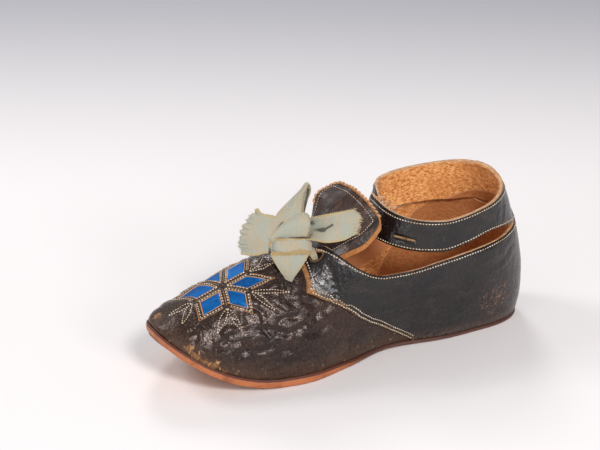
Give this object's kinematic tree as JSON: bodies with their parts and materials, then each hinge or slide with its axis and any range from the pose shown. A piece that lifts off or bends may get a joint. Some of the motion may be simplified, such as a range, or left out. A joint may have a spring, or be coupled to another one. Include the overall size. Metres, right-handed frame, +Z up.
{
  "type": "child's ankle-strap tie shoe",
  "caption": "Child's low leather shoe with an integral ankle strap, open sides, upturned round toe and a ribbon bow tied through two eyelets over a tongue.",
  "frame": {"origin": "middle of the shoe's outline on the floor, without the bow", "axes": "toe towards -X, heel towards +X, +Z up, the strap's outer end on the -Y side"},
  "size_m": [0.1475, 0.0508, 0.0655],
  "materials": {
    "outsole": "worn tan leather",
    "insole": "smooth tan leather",
    "upper": "black-brown leather with a soft shine",
    "tongue": "dark brown leather",
    "ribbon_crossing": "pale green ribbed ribbon",
    "bow_knot": "pale green ribbed ribbon",
    "bow_loop": "pale green ribbed ribbon",
    "bow_left_end": "pale green ribbed ribbon",
    "bow_right_end": "pale green ribbed ribbon",
    "bow_tail": "pale green ribbed ribbon"
  },
  "bodies": {
    "root": {"outsole": "outsole", "insole": "insole", "upper": "upper", "tongue": "tongue", "ribbon_crossing": "ribbon_crossing", "bow_knot": "bow_knot", "bow_loop": "bow_loop", "bow_left_end": "bow_left_end", "bow_right_end": "bow_right_end", "bow_tail": "bow_tail"}
  },
  "joints": []
}
